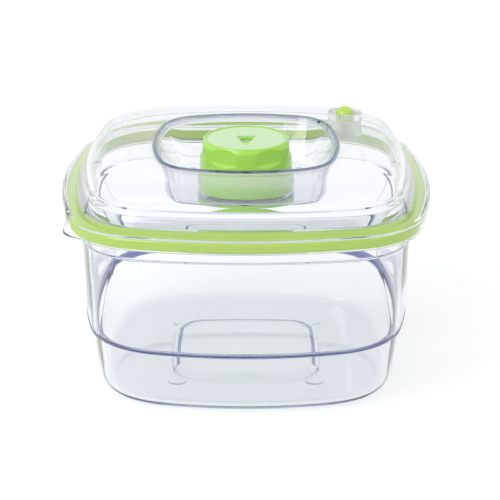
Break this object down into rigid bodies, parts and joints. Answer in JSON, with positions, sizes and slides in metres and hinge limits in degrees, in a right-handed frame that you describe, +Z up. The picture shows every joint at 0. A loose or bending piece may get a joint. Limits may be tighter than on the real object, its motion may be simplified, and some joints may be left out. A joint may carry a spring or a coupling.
{
  "type": "vacuum seal canister",
  "caption": "Clear square food canister with a domed vacuum lid, a turning valve knob in a finger well, a silicone rim gasket and a pop-up vacuum indicator button.",
  "frame": {"origin": "middle of the feet, on the table", "axes": "+Z up, the front of the canister faces -Y, +X to the right of someone facing the front"},
  "size_m": [0.194, 0.194, 0.1232],
  "materials": {
    "clear_plastic": "clear, polished moulding",
    "lime_silicone": "smooth satin silicone",
    "green_plastic": "glossy moulding",
    "pale_green_plastic": "glossy moulding",
    "green_translucent": "translucent moulding",
    "white_plastic": "fine satin moulding",
    "seal_silicone": "satin silicone",
    "steel": "bright wire and screws"
  },
  "bodies": {
    "container": {"container": "clear_plastic"},
    "lid": {"lid_shell": "clear_plastic", "lid_gasket": "lime_silicone", "turret_cap": "white_plastic", "cap_gasket": "seal_silicone", "spindle_oring": "seal_silicone", "valve_base": "green_plastic", "base_gasket": "seal_silicone", "base_screws": "steel", "valve_spring": "steel", "indicator_housing": "green_translucent", "indicator_gasket": "seal_silicone", "indicator_spring": "steel"},
    "knob": {"knob": "green_plastic", "knob_disc": "pale_green_plastic", "port_seal": "seal_silicone", "spindle": "white_plastic", "cam_pins": "steel"},
    "plunger": {"valve_plunger": "white_plastic", "plunger_seal": "seal_silicone"},
    "indicator": {"indicator_button": "green_plastic", "indicator_valve_disc": "seal_silicone", "indicator_clip": "white_plastic"}
  },
  "joints": [
    {"name": "lid_lift", "type": "slide", "parent": "container", "child": "lid", "axis": [0, 0, 1], "range_m": [0, 0.06]},
    {"name": "knob_turn", "type": "hinge", "parent": "lid", "child": "knob", "pos_m": [0, 0, 0.11], "axis": [0, 0, 1], "range_deg": [-40, 40]},
    {"name": "plunger_lift", "type": "slide", "parent": "lid", "child": "plunger", "axis": [0, 0, 1], "range_m": [-0.00151, 0.00151], "deforming": ["valve_spring"]},
    {"name": "indicator_press", "type": "slide", "parent": "lid", "child": "indicator", "axis": [0, 0, -1], "range_m": [0, 0.003], "stiffness_N_per_m": 150, "springref_m": -0.002, "deforming": ["indicator_spring"]}
  ],
  "couplings": [
    {"joint": "plunger_lift", "follows": "knob_turn", "m_per_rad": -0.0021486}
  ]
}
